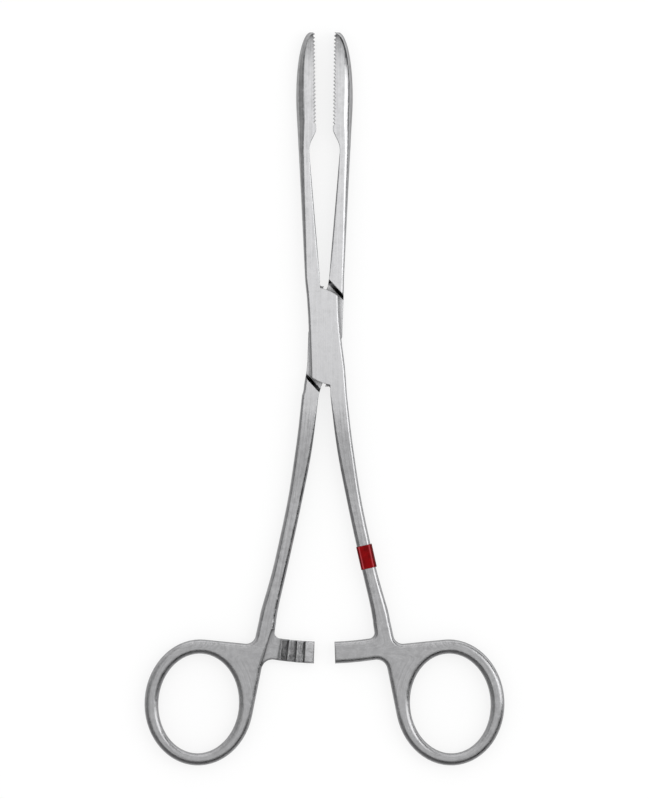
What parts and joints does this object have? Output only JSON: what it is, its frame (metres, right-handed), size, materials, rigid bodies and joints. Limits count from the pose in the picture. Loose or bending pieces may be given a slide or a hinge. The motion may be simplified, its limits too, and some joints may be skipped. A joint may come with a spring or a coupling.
{
  "type": "straight sponge forceps",
  "caption": "Straight surgical sponge forceps in satin stainless steel with a box lock, ring handles, a ratchet and a band of red marking tape, lying slightly open.",
  "frame": {"origin": "on the pivot axis, where the pin's rear end lies flush with the rear face of the box", "axes": "+Y towards the tips of the jaws, +Z out of the instrument's front, +X to the right seen from the front; the plane X = 0 halves the opening at rest"},
  "size_m": [0.0974, 0.1985, 0.0063],
  "materials": {
    "steel": "satin",
    "pin_steel": "satin",
    "red_tape": "gloss"
  },
  "bodies": {
    "box_arm": {"box_arm": "steel", "pivot_pin": "pin_steel", "marking_tape": "red_tape"},
    "tongue_arm": {"tongue_arm": "steel"}
  },
  "joints": [
    {"name": "pivot", "type": "hinge", "parent": "box_arm", "child": "tongue_arm", "pos_m": [0, 0, 0.00315], "axis": [0, 0, -1], "range_deg": [-4, 56]}
  ]
}
